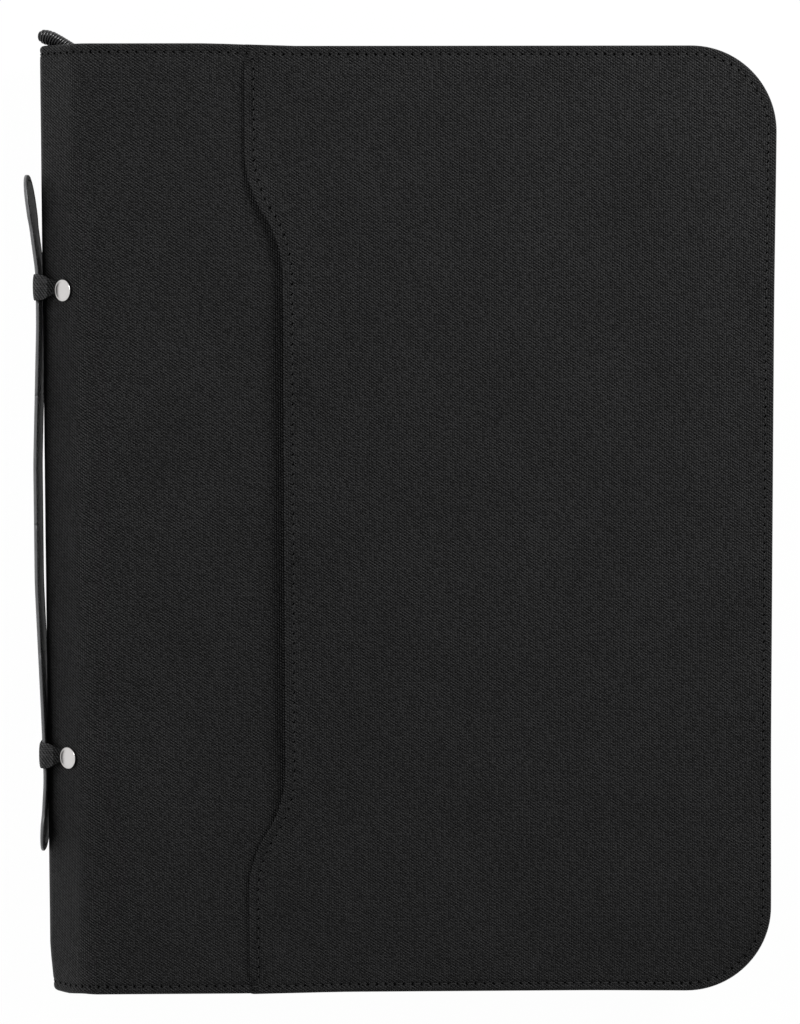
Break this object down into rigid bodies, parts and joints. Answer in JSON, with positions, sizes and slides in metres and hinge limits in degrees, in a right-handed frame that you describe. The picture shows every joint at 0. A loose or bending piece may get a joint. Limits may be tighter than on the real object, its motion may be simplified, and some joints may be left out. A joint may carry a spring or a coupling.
{
  "type": "zippered padfolio",
  "caption": "Zip-round document case with a bevelled spine, sliding carry handle, outside slip pocket and a writing pad inside.",
  "frame": {"origin": "middle of the outer back face, on the surface that the case lies on", "axes": "+X from the spine to the fore edge, +Y from the bottom edge to the top edge, +Z out of the front cover"},
  "size_m": [0.2711, 0.351, 0.039],
  "materials": {
    "cover_leatherette": "near-black synthetic leather with an embossed canvas weave",
    "strap_leatherette": "near-black synthetic leather, padded and edge-stitched",
    "lining_fabric": "black woven lining",
    "foam": "thin grey foam under the skin",
    "board": "grey binder's board",
    "paper": "white writing paper",
    "binding_tape": "black binding tape",
    "zip_tape": "black woven zip tape",
    "zip_coil": "black nylon coil",
    "zip_metal": "black lacquered zinc",
    "elastic": "black woven elastic",
    "rivet_nickel": "polished nickel"
  },
  "bodies": {
    "back_cover": {"back_skin": "cover_leatherette", "back_padding": "foam", "back_board": "board", "back_lining": "lining_fabric", "pad_sleeve": "lining_fabric", "pad_backer": "board", "pad_paper": "paper", "pad_binding": "binding_tape", "zip_tape_back": "zip_tape", "zip_coil_back": "zip_coil", "zip_stops_back": "zip_metal"},
    "spine": {"spine_skin": "cover_leatherette", "spine_board": "board", "spine_lining": "lining_fabric", "pen_loop": "elastic", "handle_loop_upper": "cover_leatherette", "handle_loop_lower": "cover_leatherette", "rivet_caps": "rivet_nickel", "rivet_backs": "rivet_nickel", "zip_tail_top": "zip_coil", "zip_tail_bottom": "zip_coil"},
    "front_cover": {"front_skin": "cover_leatherette", "front_padding": "foam", "front_board": "board", "front_lining": "lining_fabric", "front_pocket_panel": "cover_leatherette", "document_pocket": "lining_fabric", "card_pockets": "lining_fabric", "zip_tape_front": "zip_tape", "zip_coil_front": "zip_coil", "zip_stops_front": "zip_metal"},
    "slider": {"zip_slider": "zip_metal"},
    "pull": {"zip_pull": "zip_metal"},
    "strap_end_up": {"strap_upper": "strap_leatherette"},
    "strap_tip_up": {"strap_tip": "strap_leatherette"},
    "strap_web_up": {"web_upper": "strap_leatherette"},
    "strap_grip": {"grip": "strap_leatherette"},
    "strap_web_low": {"web_lower": "strap_leatherette"},
    "strap_end_low": {"strap_lower": "strap_leatherette"}
  },
  "joints": [
    {"name": "spine_roll", "type": "hinge", "parent": "back_cover", "child": "spine", "pos_m": [-0.1179, 0, 0], "axis": [0, -1, 0], "range_deg": [0, 22]},
    {"name": "cover_open", "type": "hinge", "parent": "spine", "child": "front_cover", "pos_m": [-0.1179, 0, 0.038], "axis": [0, -1, 0], "range_deg": [0, 159]},
    {"name": "slider_travel", "type": "slide", "parent": "back_cover", "child": "slider", "axis": [1, 0, 0], "range_m": [0, 0.19]},
    {"name": "pull_swing", "type": "hinge", "parent": "slider", "child": "pull", "pos_m": [-0.0975, -0.16945, 0.019], "axis": [0, 0, -1], "range_deg": [0, 170]},
    {"name": "handle_pull", "type": "slide", "parent": "spine", "child": "strap_end_up", "axis": [0, -1, 0], "range_m": [0, 0.01653]},
    {"name": "tip_bend", "type": "hinge", "parent": "strap_end_up", "child": "strap_tip_up", "pos_m": [-0.1335, 0.091, 0.019], "axis": [0, 0, -1], "range_deg": [0, 7.05]},
    {"name": "web_up_bend", "type": "hinge", "parent": "strap_end_up", "child": "strap_web_up", "pos_m": [-0.1335, 0.072, 0.019], "axis": [0, 0, -1], "range_deg": [0, 46.22]},
    {"name": "grip_bend", "type": "hinge", "parent": "strap_web_up", "child": "strap_grip", "pos_m": [-0.1351, 0.022, 0.019], "axis": [0, 0, 1], "range_deg": [0, 46.22]},
    {"name": "web_low_bend", "type": "hinge", "parent": "strap_grip", "child": "strap_web_low", "pos_m": [-0.1351, -0.022, 0.019], "axis": [0, 0, 1], "range_deg": [0, 46.22]},
    {"name": "end_low_bend", "type": "hinge", "parent": "strap_web_low", "child": "strap_end_low", "pos_m": [-0.1335, -0.072, 0.019], "axis": [0, 0, -1], "range_deg": [0, 46.22]}
  ],
  "couplings": [
    {"joint": "tip_bend", "follows": "handle_pull", "rad_per_m": 7.3926},
    {"joint": "web_up_bend", "follows": "handle_pull", "rad_per_m": 48.757},
    {"joint": "grip_bend", "follows": "handle_pull", "rad_per_m": 48.757},
    {"joint": "web_low_bend", "follows": "handle_pull", "rad_per_m": 48.757},
    {"joint": "end_low_bend", "follows": "handle_pull", "rad_per_m": 48.757}
  ]
}
